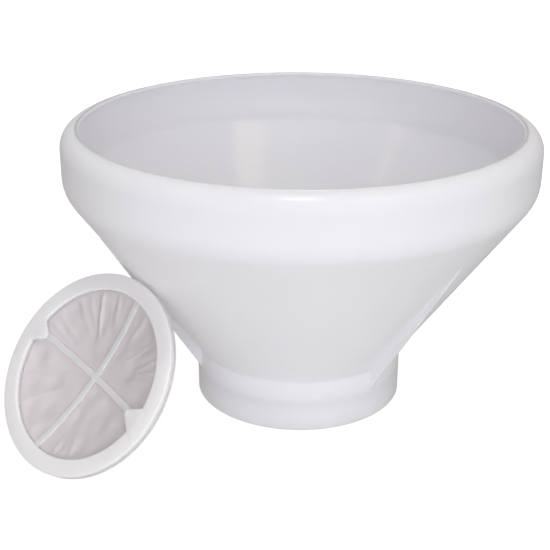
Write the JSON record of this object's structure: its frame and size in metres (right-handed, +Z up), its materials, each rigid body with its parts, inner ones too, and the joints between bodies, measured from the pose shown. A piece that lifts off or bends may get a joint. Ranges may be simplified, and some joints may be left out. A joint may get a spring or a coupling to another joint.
{
  "type": "double sieve strainer",
  "caption": "Wide plastic straining funnel with an upright rim and an outlet collar, and round lift-out sieves of dished cloth on crossed ribs.",
  "frame": {"origin": "on the funnel's axis, in the plane that the outlet collar stands on", "axes": "+Z up along the funnel's axis; -Y is the front, from which the leaning sieve is on the left; +X to the right"},
  "size_m": [0.3325, 0.3, 0.1835],
  "materials": {
    "funnel_plastic": "natural polyethylene, moulded, satin, slightly translucent",
    "sieve_plastic": "white polypropylene, moulded, satin",
    "coarse_cloth": "plain woven nylon monofilament, coarse",
    "fine_cloth": "plain woven nylon monofilament, fine"
  },
  "bodies": {
    "funnel_body": {"funnel": "funnel_plastic"},
    "coarse_sieve": {"coarse_clamp_ring": "sieve_plastic", "coarse_cloth": "coarse_cloth", "coarse_cross_frame": "sieve_plastic"},
    "fine_sieve": {"fine_clamp_ring": "sieve_plastic", "fine_cloth": "fine_cloth", "fine_cross_frame": "sieve_plastic"}
  },
  "joints": [
    {"name": "coarse_sieve_lift", "type": "slide", "parent": "funnel_body", "child": "coarse_sieve", "axis": [-0.4841, -0.6218, 0.6157], "range_m": [0, 0.12]},
    {"name": "fine_sieve_lift", "type": "slide", "parent": "funnel_body", "child": "fine_sieve", "axis": [0, 0, 1], "range_m": [0, 0.19]}
  ]
}
